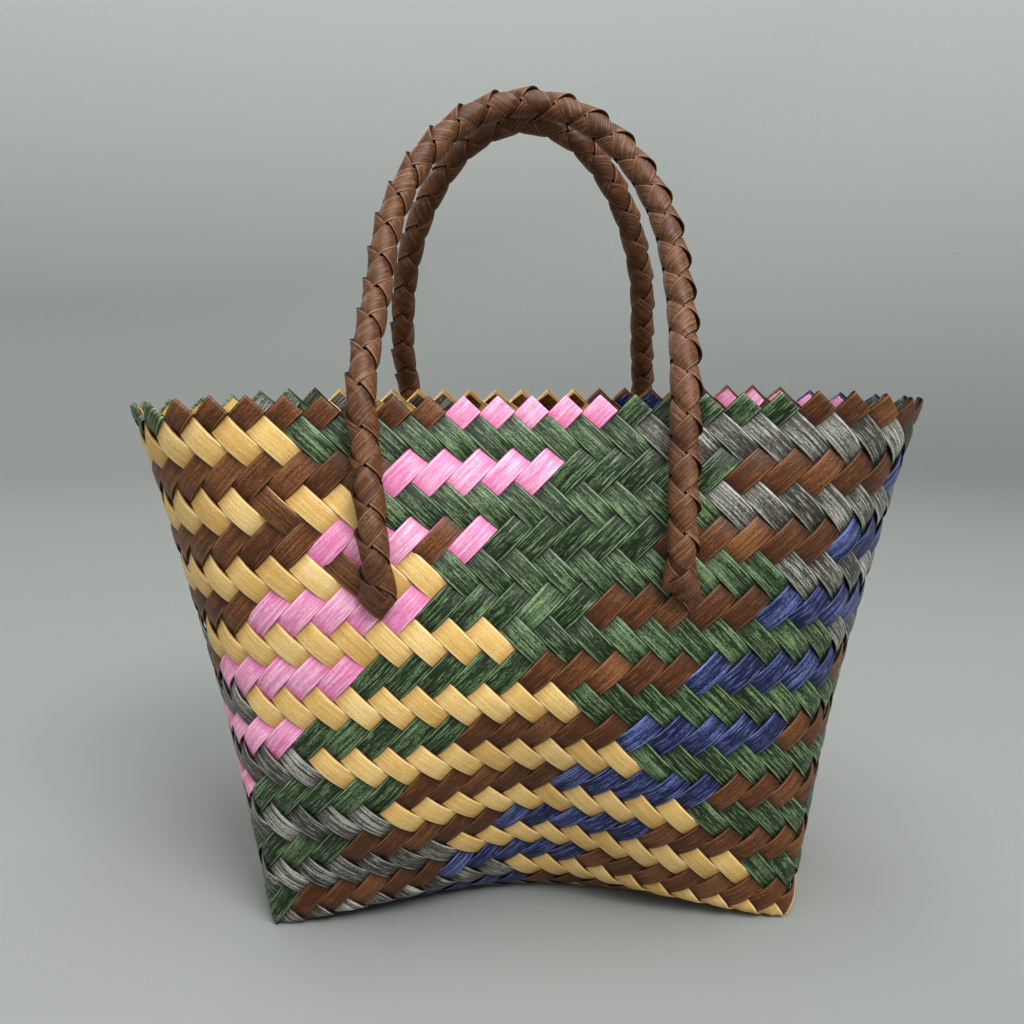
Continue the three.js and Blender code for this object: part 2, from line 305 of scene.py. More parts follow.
def strip_ends(rightward, offset):
    """Edge by which each end of the strip leaves the base, and where along it the rim is."""
    near, far = ("front", "back") if rightward else ("back", "front")
    long_edge_until = HALF_LONG - HALF_SHORT
    if offset > -long_edge_until:
        first, start = near, offset - RIM_BY_LONG_EDGE
    else:
        first, start = "left", -RIM_BY_SHORT_EDGE - offset
    if offset < long_edge_until:
        second, stop = far, RIM_BY_LONG_EDGE + offset
    else:
        second, stop = "right", RIM_BY_SHORT_EDGE - offset
    return first, start, second, stop


def unfold(rightward, along, offset):
    """Place on the flat net: pitches right of and behind the middle of the base."""
    if rightward:
        return (along + offset) / 2.0, (along - offset) / 2.0
    return (along + offset) / 2.0, (offset - along) / 2.0


def flap_place(edge, right, behind):
    """Wall column and row of a place beyond one edge of the base."""
    if edge == "front":
        return right, BASE_EDGE_ROW + 2.0 * (behind + HALF_SHORT)
    if edge == "back":
        return 2.0 * QUARTER - right, BASE_EDGE_ROW - 2.0 * (behind - HALF_SHORT)
    if edge == "right":
        return QUARTER + behind, BASE_EDGE_ROW - 2.0 * (right - HALF_LONG)
    return -QUARTER - behind, BASE_EDGE_ROW + 2.0 * (right + HALF_LONG)


def beyond(edge, right, behind):
    if edge == "front":
        return behind < -HALF_SHORT
    if edge == "back":
        return behind > HALF_SHORT
    if edge == "right":
        return right > HALF_LONG
    return right < -HALF_LONG


def climbs_left(rightward, edge):
    """Whether the strip leans to the left as it climbs this wall, seen from outside."""
    return (edge in ("front", "back")) == rightward


def left_on_top(row):
    """Whether the strips that lean left lie outermost in this half row: two in every four."""
    return round(row) % 4 in (1, 2)


def on_top(rightward, edges, along, offset):
    """Whether the strip lies outermost at this cell: over two, under two, in level rows."""
    right, behind = unfold(rightward, along, offset)
    for edge in edges:
        if beyond(edge, right, behind):
            row = flap_place(edge, right, behind)[1]
            return left_on_top(row) == climbs_left(rightward, edge)
    row = BASE_EDGE_ROW + 2.0 * (HALF_SHORT - abs(behind))
    return left_on_top(row) == rightward


def turning(rightward, edges, along, offset):
    """How strongly the wall turns here, from 0 on the broad sides to 1 round the corners."""
    right, behind = unfold(rightward, along, offset)
    for edge in edges:
        if beyond(edge, right, behind):
            column = abs(math.remainder(flap_place(edge, right, behind)[0], 2.0 * QUARTER))
            return math.exp(-((column - CORNER_TURN_PITCH) / CORNER_TURN_SPREAD) ** 2)
    return 0.0


def strip_floats(levels):
    """Runs of cells that stay on one side: where each begins and ends, and its side.

    The first and last are drawn out past the rim, so that the strip is still bowed where it ends.
    """
    floats = []
    for k, level in enumerate(levels):
        if floats and floats[-1][2] == level:
            floats[-1][1] = k + 1
        else:
            floats.append([k, k + 1, level])
    floats[0][0] -= floats[0][1]
    floats[-1][1] += len(levels) - floats[-1][0]
    return floats


def strip_profile(rightward, offset):
    """Stations along one strip, and the edges by which its ends leave the base.

    A station has a place along the strip, a lift off the middle surface, a share of its bow and a width.
    """
    first, start, second, stop = strip_ends(rightward, offset)
    edges = (first, second)
    cells = int(round(stop - start))
    levels = []
    for k in range(cells):
        levels.append(1.0 if on_top(rightward, edges, start + 0.5 + k, offset) else -1.0)
    floats = strip_floats(levels)
    stations = []
    for k in range(cells * SAMPLES_PER_CELL + 1):
        place = k / SAMPLES_PER_CELL
        begin, end, level = next(run for run in floats if run[0] <= place <= run[1])
        rise = FLOAT_RISE * min(LONGEST_FLOAT_RISE, ((end - begin) / 2.0) ** 0.5)
        if level > 0:
            rise += CORNER_RISE * turning(rightward, edges, start + place, offset)
        bow = math.sin(math.pi * (place - begin) / (end - begin))
        width = 1.0
        for edge, away in ((first, place), (second, cells - place)):
            if climbs_left(rightward, edge):
                width = min(width, 1.0 - TUCK_NARROWS * max(0.0, 1.0 - away / TUCK_LENGTH))
        stations.append(Station(start + place, level * rise * bow, bow, width))
    heads = rim_end(rightward, first, stations[0], -1.0)[::-1]
    feet = rim_end(rightward, second, stations[-1], 1.0)
    return heads + stations[1:-1] + feet, edges


def rim_end(rightward, edge, station, way):
    """Stations at the rim: the outer strip of a pair folds back inside itself, the inner one stops short."""
    place, lift = station.place, station.lift
    if climbs_left(rightward, edge):
        return [Station(place - way * TUCK_STOPS_SHORT, lift, 1.0, station.width)]
    middle = (lift + FOLD_INNER_LIFT) / 2.0
    reach = (lift - FOLD_INNER_LIFT) / 2.0
    turned = []
    for step in range(FOLD_STEPS + 1):
        angle = math.pi * step / FOLD_STEPS
        out = way * math.sin(angle) * reach / CELL
        turned.append(Station(place + out, middle + reach * math.cos(angle), 1.0, 1.0))
    for back in (FOLD_FLAP_CELLS / 2.0, FOLD_FLAP_CELLS):
        turned.append(Station(place - way * back, FOLD_INNER_LIFT, 1.0, FLAP_WIDTH_SHARE))
    return turned


# Laying strips.

def flat_points(mesh):
    flat = np.empty(len(mesh.vertices) * 3)
    mesh.vertices.foreach_get("co", flat)
    return flat.reshape(-1, 3)


def chart_strip(mesh, across, along, bow):
    """Writes the strip's own chart, across it and along it, and how far it bows clear of its crossings,
    which sets the painted shade where it dives under.
    """
    chart = mesh.uv_layers.active
    chart.name = CHART_NAME
    corners = np.empty(len(mesh.loops), dtype=int)
    mesh.loops.foreach_get("vertex_index", corners)
    chart.data.foreach_set("uv", np.stack([across, along], axis=1)[corners].ravel())
    mesh.attributes.new(BOW_NAME, "FLOAT", "POINT").data.foreach_set("value", bow)
    mesh.update()


def lay_run(rightward, offset, stations, edges, width, number):
    """A flat grid laid along its stations on the bag, ready for its thickness."""
    rows = len(stations) - 1
    loops = len(ACROSS_PLACES) - 1
    bpy.ops.mesh.primitive_grid_add(x_subdivisions=loops, y_subdivisions=rows, size=1.0)
    strip = bpy.context.object
    mesh = strip.data
    flat = flat_points(mesh)
    loop = np.rint((flat[:, 0] + 0.5) * loops).astype(int)
    index = np.rint((flat[:, 1] + 0.5) * rows).astype(int)
    along, lift, bow, share = (np.array(column)[index] for column in zip(*stations))
    across = ACROSS_PLACES[loop] * width * share
    lift = lift + STRIP_CROWN * (CROWN_MEAN - (2.0 * across) ** 2) - ACROSS_DROPS[loop]
    right, behind = unfold(rightward, along, offset + across)
    points = np.zeros((len(along), 3))
    done = np.zeros(len(along), dtype=bool)
    for edge in edges:
        here = beyond(edge, right, behind) & ~done
        column, row = flap_place(edge, right[here], behind[here])
        points[here] = wall_place(column, row, lift[here])
        done |= here
    rest = ~done
    points[rest] = base_place(right[rest], behind[rest], lift[rest])
    points[:, 2] = np.maximum(points[:, 2], STRIP_THICKNESS / 2)
    mesh.vertices.foreach_set("co", (points * MM).ravel())
    chart_across = ACROSS_PLACES[loop] + 0.5 + number * FIELD_ACROSS
    chart_strip(mesh, chart_across, along + number * FIELD_ALONG, bow)
    return strip


def lay_strip(rightward, offset, number):
    stations, edges = strip_profile(rightward, offset)
    return lay_run(rightward, offset, stations, edges, STRIP_WIDTH_SHARE, number)


def lay_tail(offset, low, high, number):
    """A strand end of a handle, plaited on along one of the rightward strips."""
    stations, edges = strip_profile(True, offset)
    part = [s._replace(lift=s.lift + TAIL_LIFT) for s in stations if low <= s.place <= high]
    return lay_run(True, offset, part, edges, TAIL_WIDTH_SHARE, number)


def lay_wrap(side, column, row, wrap, number):
    """A short flat strip over the wall, given by its four corners round a place on the net."""
    bpy.ops.mesh.primitive_grid_add(
        x_subdivisions=WRAP_LOOPS_ACROSS, y_subdivisions=WRAP_LOOPS_ALONG, size=1.0)
    strip = bpy.context.object
    flat = flat_points(strip.data)
    across = flat[:, :1] + 0.5
    along = flat[:, 1:2] + 0.5
    first, second, third, fourth = (np.array(corner) for corner in wrap[:4])
    start = first * (1 - across) + second * across
    end = third * (1 - across) + fourth * across
    net = start * (1 - along) + end * along
    first_bulge, second_bulge = wrap[4:]
    bulge = first_bulge * (1 - across) + second_bulge * across
    bulge = bulge * (1 - np.abs(2 * along - 1) ** WRAP_BULGE_POWER)
    drop = WRAP_EDGE_DROP * np.abs(2 * flat[:, 0]) ** WRAP_EDGE_POWER
    points = wall_place(column + net[:, 0], row + net[:, 1], net[:, 2] + bulge[:, 0] - drop)
    points[:, 1] *= side
    strip.data.vertices.foreach_set("co", (points * MM).ravel())
    # The bow falls off at the wrap's ends, so they take painted shade where they tuck under.
    bow = 1.0 - np.abs(2 * along[:, 0] - 1) ** WRAP_END_POWER
    chart_along = along[:, 0] * WRAP_CELLS + number * FIELD_ALONG
    chart_strip(strip.data, across[:, 0] + number * FIELD_ACROSS, chart_along, bow)
    return strip


# Finishing meshes.

def select_only(pieces):
    bpy.ops.object.select_all(action="DESELECT")
    for piece in pieces:
        piece.select_set(True)
    bpy.context.view_layer.objects.active = pieces[0]


def edit_all(piece):
    """Opens a piece in edit mode with all of it selected."""
    select_only([piece])
    bpy.ops.object.mode_set(mode="EDIT")
    bpy.ops.mesh.select_all(action="SELECT")


def close_seams(piece, reach):
    edit_all(piece)
    bpy.ops.mesh.remove_doubles(threshold=reach)
    bpy.ops.object.mode_set(mode="OBJECT")


def turn_normals(piece, inside):
    edit_all(piece)
    bpy.ops.mesh.normals_make_consistent(inside=inside)
    bpy.ops.object.mode_set(mode="OBJECT")


def thicken(pieces, name, thickness):
    """Joins flat ribbons, gives them thickness and smooth sides."""
    select_only(pieces)
    if len(pieces) > 1:
        bpy.ops.object.join()
    joined = bpy.context.object
    joined.name = name
    joined.data.name = name
    solid = joined.modifiers.new("thickness", "SOLIDIFY")
    solid.thickness = thickness * MM
    solid.offset = 0.0
    select_only([joined])
    bpy.ops.object.modifier_apply(modifier=solid.name)
    turn_normals(joined, inside=False)
    bpy.ops.object.shade_smooth_by_angle(angle=SMOOTH_ANGLE)
    return joined


# Camera.

def make_camera():
    data = bpy.data.cameras.new("camera")
    data.sensor_fit = "HORIZONTAL"
    data.sensor_width = SENSOR_WIDTH
    data.lens = SENSOR_WIDTH * CAMERA_FOCAL_PIXELS / FRAME_PIXELS
    data.clip_start = CLIP_START * MM
    camera = bpy.data.objects.new("camera", data)
    bpy.context.scene.collection.objects.link(camera)
    turn = Matrix.Rotation(-math.radians(CAMERA_YAW), 4, "Z")
    tilt = Matrix.Rotation(math.radians(90.0 - CAMERA_PITCH), 4, "X")
    roll = Matrix.Rotation(-math.radians(CAMERA_ROLL), 4, "Z")
    camera.matrix_world = Matrix.Translation(Vector(CAMERA_PLACE) * MM) @ turn @ tilt @ roll
    bpy.context.scene.camera = camera


# Materials.

STREAK_COLOURS = ("Dark", "Middle", "Light")
STREAK_SETTINGS = ("Contrast", "Fibre", "Fineness", "Length", "Speckle", "Variation", "Edge", "Roughness")
# Screen colours of each finish: dark, middle, light.
STRIP_COLOURS = {
    "straw": ((164, 116, 54), (217, 176, 102), (253, 234, 182)),
    "green": ((3, 8, 2), (25, 43, 18), (140, 167, 121)),
    "grey": ((8, 7, 5), (67, 64, 55), (208, 207, 196)),
    "pink": ((206, 70, 138), (228, 150, 188), (255, 230, 241)),
    "blue": ((2, 3, 18), (21, 28, 72), (134, 149, 212)),
    "brown": ((24, 9, 1), (81, 43, 15), (160, 108, 66)),
    "braid": ((26, 12, 5), (84, 49, 26), (172, 124, 86)),
}
# Streaks of each finish: contrast, fibre, fineness, length, speckle, variation, edge (strength of the
# painted edge highlight), roughness; then sheen.
STRIP_STREAKS = {
    "straw": (0.35, 0.22, 9.0, 0.3, 0.6, 0.2, 0.7, 0.42, 0.28),
    "green": (0.78, 0.65, 9.0, 0.3, 0.9, 0.17, 0.6, 0.4, 0.26),
    "grey": (0.82, 0.55, 9.0, 0.3, 0.8, 0.28, 0.5, 0.4, 0.3),
    "pink": (0.7, 0.5, 8.0, 0.35, 0.7, 0.22, 0.5, 0.42, 0.28),
    "blue": (0.8, 0.56, 9.0, 0.3, 0.8, 0.24, 0.45, 0.4, 0.25),
    "brown": (0.5, 0.44, 11.0, 0.3, 0.8, 0.22, 0.5, 0.42, 0.28),
    "braid": (0.4, 0.38, 11.0, 0.3, 0.5, 0.16, 0.45, 0.5, 0.28),
}
# Settings of the streaks that every finish shares. The depth of the grain is in millimetres.
NOISE_ROUGHNESS = 0.6
STREAK_WEIGHT = 1.8
BAND_ACROSS = 3.3
BAND_LENGTH = 0.5
BAND_WEIGHT = 0.5
DRIFT_APART = 7.3
DRIFT_ALONG = 0.45
DRIFT_WEIGHT = 1.6
SPECKLE_ACROSS = 24.0
SPECKLE_ALONG = 7.0
SPECKLE_ROUGHENS = 0.2
FIBRE_DASHES = 4.0
PALE_FIBRE_FINENESS = 1.8
PALE_FIBRE_ROUGHENS = 0.25
DEEP_FIBRE_FINENESS = 2.0
DEEP_FIBRE_SHIFT = 0.37
FIBRE_SHARPNESS = 7.0
FIBRE_STARTS_AT = 0.05
# Painted highlight: a pale line this far in from each edge, where light catches the rounded edge.
EDGE_HIGHLIGHT_PLACE = 0.06
EDGE_SHARPENING = 32.0
# Painted shade along each strip's very edge, as in the shaded gaps between strips: its reach, its darkness
# and the roughness it adds.
GAP_SHADE_REACH = 1.1
GAP_SHADE_DARKNESS = 0.9
GAP_SHADE_ROUGHNESS = 0.4
# Painted shade where a strip dives under a crossing: how dark, and how far it reaches.
CROSSING_SHADE = 0.6
CROSSING_REACH = 1.5
GRAIN_STRENGTH = 0.4
GRAIN_DEPTH = 0.3
GRAIN_STRETCH = 0.4


class StreakNodes:
    """Short words for the nodes that the streak group is built from."""

    def __init__(self, tree):
        self.nodes = tree.nodes
        self.links = tree.links

    def maths(self, operation, *values):
        node = self.nodes.new("ShaderNodeMath")
        node.operation = operation
        for place, value in enumerate(values):
            if isinstance(value, (int, float)):
                node.inputs[place].default_value = value
            else:
                self.links.new(value, node.inputs[place])
        return node.outputs[0]

    def times(self, a, b):
        return self.maths("MULTIPLY", a, b)

    def plus(self, a, b):
        return self.maths("ADD", a, b)

    def minus(self, a, b):
        return self.maths("SUBTRACT", a, b)

    def limited(self, value):
        return self.maths("MINIMUM", self.maths("MAXIMUM", value, 0.0), 1.0)

    def noise(self, x, y, detail):
        """Noise about zero."""
        join = self.nodes.new("ShaderNodeCombineXYZ")
        self.links.new(x, join.inputs[0])
        self.links.new(y, join.inputs[1])
        node = self.nodes.new("ShaderNodeTexNoise")
        node.inputs["Scale"].default_value = 1.0
        node.inputs["Detail"].default_value = detail
        node.inputs["Roughness"].default_value = NOISE_ROUGHNESS
        self.links.new(join.outputs[0], node.inputs["Vector"])
        return self.plus(node.outputs["Fac"], -0.5)

    def blend(self, factor, a, b):
        node = self.nodes.new("ShaderNodeMix")
        node.data_type = "RGBA"
        self.links.new(factor, node.inputs["Factor"])
        self.links.new(a, node.inputs["A"])
        self.links.new(b, node.inputs["B"])
        return node.outputs["Result"]

    def chart(self):
        """Place across and along the strip."""
        chart = self.nodes.new("ShaderNodeUVMap")
        chart.uv_map = CHART_NAME
        split = self.nodes.new("ShaderNodeSeparateXYZ")
        self.links.new(chart.outputs["UV"], split.inputs[0])
        return split.outputs[0], split.outputs[1]

    def own_tone(self, number):
        """A fixed tone for each strip, about zero."""
        node = self.nodes.new("ShaderNodeTexWhiteNoise")
        node.noise_dimensions = "1D"
        self.links.new(number, node.inputs["W"])
        return self.plus(node.outputs["Value"], -0.5)

    def bow(self):
        node = self.nodes.new("ShaderNodeAttribute")
        node.attribute_name = BOW_NAME
        return node.outputs["Fac"]


def streak_group():
    """Streaks that run with a strip, each strip's own tone, fine speckles, a painted highlight along each
    edge, and painted shade in the gaps between strips and where a strip dives under.
    """
    tree = bpy.data.node_groups.new("strip_streaks", "ShaderNodeTree")
    for name in STREAK_COLOURS:
        tree.interface.new_socket(name=name, in_out="INPUT", socket_type="NodeSocketColor")
    for name in STREAK_SETTINGS:
        tree.interface.new_socket(name=name, in_out="INPUT", socket_type="NodeSocketFloat")
    tree.interface.new_socket(name="Colour", in_out="OUTPUT", socket_type="NodeSocketColor")
    tree.interface.new_socket(name="Height", in_out="OUTPUT", socket_type="NodeSocketFloat")
    tree.interface.new_socket(name="Roughness", in_out="OUTPUT", socket_type="NodeSocketFloat")
    given = tree.nodes.new("NodeGroupInput").outputs
    out = tree.nodes.new("NodeGroupOutput").inputs
    put = StreakNodes(tree)
    times, plus, minus, noise, blend = put.times, put.plus, put.minus, put.noise, put.blend
    fineness, length = given["Fineness"], given["Length"]

    # Which strip this is, and where on it.
    across, along = put.chart()
    number = put.maths("FLOOR", times(across, 1.0 / FIELD_ACROSS))
    inside = minus(across, times(number, FIELD_ACROSS))
    tone = put.own_tone(number)
    drift = noise(times(number, DRIFT_APART), times(along, DRIFT_ALONG), 1.0)

    # Streaks, bands, fibres and speckles, all drawn out along the strip.
    streak = noise(times(across, fineness), times(along, length), 3.0)
    dash = times(length, FIBRE_DASHES)
    pale = noise(times(across, times(fineness, PALE_FIBRE_FINENESS)), times(along, dash), 2.0)
    shifted = plus(across, DEEP_FIBRE_SHIFT)
    deep = noise(times(shifted, times(fineness, DEEP_FIBRE_FINENESS)), times(along, dash), 2.0)
    band = noise(times(across, BAND_ACROSS), times(along, times(length, BAND_LENGTH)), 1.0)
    speckle = noise(times(across, SPECKLE_ACROSS), times(along, SPECKLE_ALONG), 2.0)
    lines = plus(times(streak, STREAK_WEIGHT), times(band, BAND_WEIGHT))
    marks = plus(times(lines, given["Contrast"]), times(speckle, given["Speckle"]))
    shade = times(plus(tone, times(drift, DRIFT_WEIGHT)), given["Variation"])
    value = plus(plus(marks, shade), 0.5)
    below = put.limited(times(value, 2.0))
    above = put.limited(plus(times(value, 2.0), -1.0))
    colour = blend(above, blend(below, given["Dark"], given["Middle"]), given["Light"])
    # Pale fibres: the strip's own grain, and also painted sheen where its glossy fibres catch the light.
    pale_fibre_and_sheen = put.limited(times(plus(pale, -FIBRE_STARTS_AT), FIBRE_SHARPNESS))
    deep_fibre = put.limited(times(plus(deep, -FIBRE_STARTS_AT), FIBRE_SHARPNESS))
    colour = blend(times(deep_fibre, given["Fibre"]), colour, given["Dark"])
    colour = blend(times(pale_fibre_and_sheen, given["Fibre"]), colour, given["Light"])

    # Painted highlight: a pale line near each edge, where light catches the rounded edge. Painted shade: the
    # strip's very edge, shaded in the gap between strips, and shade where the strip dives under.
    side = put.maths("MINIMUM", inside, minus(1.0, inside))
    off_line = put.maths("ABSOLUTE", plus(side, -EDGE_HIGHLIGHT_PLACE))
    # Painted highlight along each edge, where light catches it.
    edge_highlight = put.limited(minus(1.0, times(off_line, EDGE_SHARPENING)))
    # Painted shade at the strip's very edge, where the gap between strips lies in shade.
    gap_shade = put.limited(minus(GAP_SHADE_REACH, times(side, EDGE_SHARPENING)))
    colour = blend(times(edge_highlight, given["Edge"]), colour, given["Light"])
    colour = blend(times(gap_shade, GAP_SHADE_DARKNESS), colour, given["Dark"])
    # Painted shade where the strip dives under a crossing strip, set by its bow.
    dive = put.limited(minus(1.0, times(put.bow(), CROSSING_REACH)))
    colour = blend(times(dive, CROSSING_SHADE), colour, given["Dark"])

    tree.links.new(colour, out["Colour"])
    tree.links.new(plus(marks, plus(pale, times(deep, -1.0))), out["Height"])
    grain = plus(times(pale, PALE_FIBRE_ROUGHENS), times(speckle, SPECKLE_ROUGHENS))
    tree.links.new(plus(plus(given["Roughness"], grain), times(gap_shade, GAP_SHADE_ROUGHNESS)), out["Roughness"])
    return tree


def screen_colour(rgb):
    linear = []
    for value in rgb:
        share = value / 255.0
        linear.append(share / 12.92 if share <= 0.04045 else ((share + 0.055) / 1.055) ** 2.4)
    return (*linear, 1.0)


def strip_material(name, streaks):
    """A satin strip whose sheen is drawn out along its fibres."""
    material = bpy.data.materials.new(name + "_strip")
    material.use_nodes = True
    nodes, links = material.node_tree.nodes, material.node_tree.links
    shader = nodes["Principled BSDF"]
    group = nodes.new("ShaderNodeGroup")
    group.node_tree = streaks
    for socket, colour in zip(STREAK_COLOURS, STRIP_COLOURS[name]):
        group.inputs[socket].default_value = screen_colour(colour)
    *values, sheen = STRIP_STREAKS[name]
    for socket, value in zip(STREAK_SETTINGS, values):
        group.inputs[socket].default_value = value
    links.new(group.outputs["Colour"], shader.inputs["Base Color"])
    links.new(group.outputs["Roughness"], shader.inputs["Roughness"])
    bump = nodes.new("ShaderNodeBump")
    bump.inputs["Strength"].default_value = GRAIN_STRENGTH
    bump.inputs["Distance"].default_value = GRAIN_DEPTH * MM
    links.new(group.outputs["Height"], bump.inputs["Height"])
    links.new(bump.outputs["Normal"], shader.inputs["Normal"])
    grain = nodes.new("ShaderNodeTangent")
    grain.direction_type = "UV_MAP"
    grain.uv_map = CHART_NAME
    links.new(grain.outputs["Tangent"], shader.inputs["Tangent"])
    shader.inputs["Anisotropic"].default_value = GRAIN_STRETCH
    shader.inputs["Specular IOR Level"].default_value = sheen
    return material


# Handles.

def facing_of(name):
    """1 for the handle on the front wall, -1 for the one on the back wall."""
    return 1.0 if name == "handle_front" else -1.0


def handle_path(name):
    """Middle line of one handle from its left foot over the arch to its right foot, and its length."""
    side = facing_of(name)
    left_rim, left_foot, right_rim, right_foot, half_span, spring, top = HANDLES[name]

    def leg(rim, foot, row, radius):
        column = rim + (foot - rim) * (row - RIM_ROW) / (FOOT_ROW - RIM_ROW)
        reach = WALL_THICKNESS / 2 + PIECE_GAP + radius + BRAID_STANDS_OFF
        point = wall_place(np.array([column]), np.array([row]), np.array([reach]))[0]
        point[1] *= side
        return point

    def climb(rim, foot):
        points = [leg(rim, foot, FOOT_ROW, FOOT_HALF_THICKNESS)]
        points += [leg(rim, foot, row, HANDLE_RADIUS) for row in LEG_ROWS]
        start = points[-1]
        for share in ARCH_SHARES:
            turn = share * math.pi / 2
            height = spring + (top - spring) * math.sin(turn)
            lean = ((height - start[2]) / (top - start[2])) ** HANDLE_LEAN_POWER
            depth = start[1] + (-side * HANDLE_TOP_SETBACK - start[1]) * lean
            points.append(np.array([math.copysign(half_span, rim) * math.cos(turn), depth, height]))
        return points

    crown = np.array([0.0, -side * HANDLE_TOP_SETBACK, top])
    points = climb(left_rim, left_foot) + [crown] + climb(right_rim, right_foot)[::-1]
    return even_curve(np.array(points))


def even_curve(points):
    """A centripetal curve through the points, evenly spaced, and its length."""
    padded = np.vstack([2 * points[0] - points[1], points, 2 * points[-1] - points[-2]])
    dense = []
    for i in range(1, len(padded) - 2):
        p0, p1, p2, p3 = padded[i - 1:i + 3]
        t0 = 0.0
        t1 = t0 + np.linalg.norm(p1 - p0) ** 0.5
        t2 = t1 + np.linalg.norm(p2 - p1) ** 0.5
        t3 = t2 + np.linalg.norm(p3 - p2) ** 0.5
        for t in np.linspace(t1, t2, CURVE_STEPS, endpoint=False):
            a1 = p0 * (t1 - t) / (t1 - t0) + p1 * (t - t0) / (t1 - t0)
            a2 = p1 * (t2 - t) / (t2 - t1) + p2 * (t - t1) / (t2 - t1)
            a3 = p2 * (t3 - t) / (t3 - t2) + p3 * (t - t2) / (t3 - t2)
            b1 = a1 * (t2 - t) / (t2 - t0) + a2 * (t - t0) / (t2 - t0)
            b2 = a2 * (t3 - t) / (t3 - t1) + a3 * (t - t1) / (t3 - t1)
            dense.append(b1 * (t2 - t) / (t2 - t1) + b2 * (t - t1) / (t2 - t1))
    dense.append(points[-1])
    dense = np.array(dense)
    steps = np.concatenate([[0.0], np.cumsum(np.linalg.norm(np.diff(dense, axis=0), axis=1))])
    places = np.linspace(0.0, steps[-1], PATH_POINTS)
    return np.stack([np.interp(places, steps, dense[:, k]) for k in range(3)], axis=1), steps[-1]


def along_path(path, length, place):
    steps = np.linspace(0.0, length, len(path))
    return np.stack([np.interp(place, steps, path[:, k]) for k in range(3)], axis=1)


def braid_place(path, length, place, turn, radius):
    """Points round the handle's middle line: place along it, turn round it, distance from it."""
    middle = along_path(path, length, place)
    ahead = along_path(path, length, np.minimum(place + BRAID_DIRECTION_STEP, length))
    behind = along_path(path, length, np.maximum(place - BRAID_DIRECTION_STEP, 0.0))
    along = unit(ahead - behind)
    across = unit(np.cross(along, np.array([0.0, 1.0, 0.0])))
    outward = unit(np.cross(across, along))
    from_tip = np.minimum(place, length - place)
    flare = smoothstep(FOOT_POINT_LENGTH, FOOT_LENGTH, from_tip)
    full = FOOT_HALF_WIDTH + (HANDLE_RADIUS - FOOT_HALF_WIDTH) * flare
    taper = np.minimum(1.0, from_tip / FOOT_POINT_LENGTH)
    wide = (FOOT_TIP_HALF_WIDTH + (full - FOOT_TIP_HALF_WIDTH) * taper) / HANDLE_RADIUS
    thin = smoothstep(0.0, FOOT_LENGTH, from_tip)
    deep = (FOOT_HALF_THICKNESS + (HANDLE_RADIUS - FOOT_HALF_THICKNESS) * thin) / HANDLE_RADIUS
    sideways = (np.cos(turn) * radius * wide)[:, None]
    outwards = (np.sin(turn) * radius * deep)[:, None]
    return middle + across * sideways + outward * outwards


def braid_strand(path, length, facing, way, phase, number):
    """One flat strand wound round the handle; its far edge stands open on the outer side of the arch."""
    rate = way * 2 * math.pi / BRAID_LEAD
    lay = math.atan(abs(rate) * BRAID_MEAN)
    rows = int(length / BRAID_STEP)
    bpy.ops.mesh.primitive_grid_add(x_subdivisions=BRAID_LOOPS_ACROSS, y_subdivisions=rows, size=1.0)
    strand = bpy.context.object
    flat = flat_points(strand.data)
    across = flat[:, 0] * BRAID_STRIP_WIDTH
    start = BRAID_STOPS_SHORT_LEFT
    stop = length - BRAID_STOPS_SHORT_RIGHT
    place = start + (flat[:, 1] + 0.5) * (stop - start)
    spot = np.clip(place + across * math.sin(lay), start, stop)
    turn = phase + rate * place - way * across * math.cos(lay) / BRAID_MEAN

    # Over one and under one, by the place where the strands wound the other way cross it.
    crossing = np.cos(turn + rate * spot + phase - 2.0 * facing * BRAID_TOP_TURN)
    lift = np.tanh(BRAID_CROSSING_STEEPNESS * crossing) / math.tanh(BRAID_CROSSING_STEEPNESS)
    lift = lift * (-1.0 if way * facing > 0 else 1.0)
    radius = BRAID_MEAN + (BRAID_OUTER - BRAID_INNER) / 2 * lift
    if way * facing > 0:
        edge = np.clip(flat[:, 0] * 2.0, 0.0, 1.0)
        open_side = np.maximum(0.0, np.cos(turn - facing * LOOP_TURN)) ** LOOP_SPREAD_POWER
        clear = smoothstep(LOOPS_FADE_TO, LOOPS_FADE_FROM, np.minimum(spot, length - spot))
        radius = radius + LOOP_LIFT * edge ** LOOP_LIFT_POWER * open_side * clear
    radius = radius + BRAID_DOME * (BRAID_DOME_MEAN - np.abs(flat[:, 0] * 2.0) ** BRAID_DOME_POWER)
    points = braid_place(path, length, spot, turn, radius)
    strand.data.vertices.foreach_set("co", (points * MM).ravel())
    chart_along = place / math.cos(lay) / CELL + number * BRAID_FIELD_ALONG
    # The bow is the strand's lift, so painted shade falls where the strands cross.
    chart_strip(strand.data, flat[:, 0] + 0.5 + number * FIELD_ACROSS, chart_along, np.abs(lift))
    return strand


